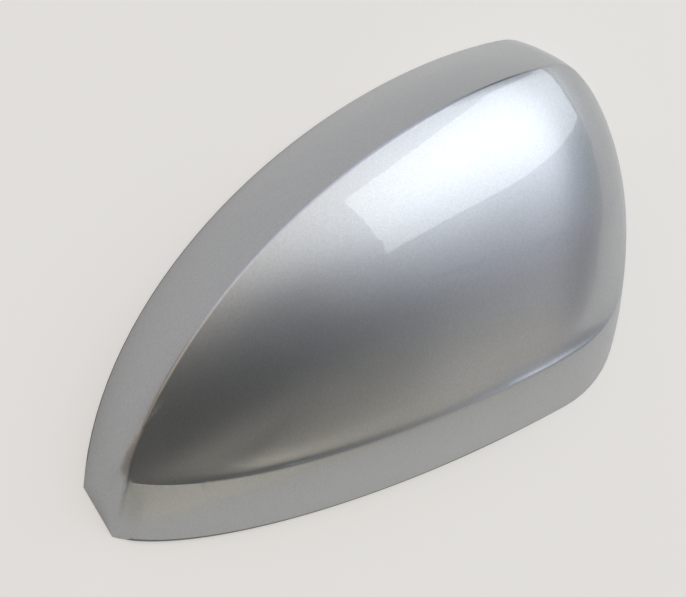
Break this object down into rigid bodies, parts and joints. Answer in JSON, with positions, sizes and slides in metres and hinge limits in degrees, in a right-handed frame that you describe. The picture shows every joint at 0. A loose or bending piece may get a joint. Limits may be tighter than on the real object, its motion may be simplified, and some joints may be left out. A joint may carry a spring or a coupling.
{
  "type": "wing mirror cover",
  "caption": "Moulded wing mirror cover: domed face, upper and lower side bands, rolled broad end, cut-off tip, snap clips and locating pins inside.",
  "frame": {"origin": "centre of the bounding box in plan, at the foot of the rim", "axes": "+X from the narrow tip to the broad end, +Y towards the upper band, +Z out of the domed face"},
  "size_m": [0.2246, 0.1318, 0.046],
  "materials": {
    "silver_paint": "ABS moulding, metallic silver paint with fine flake under gloss clear coat outside, bare dark grey plastic inside"
  },
  "bodies": {
    "root": {"cover": "silver_paint"}
  },
  "joints": []
}
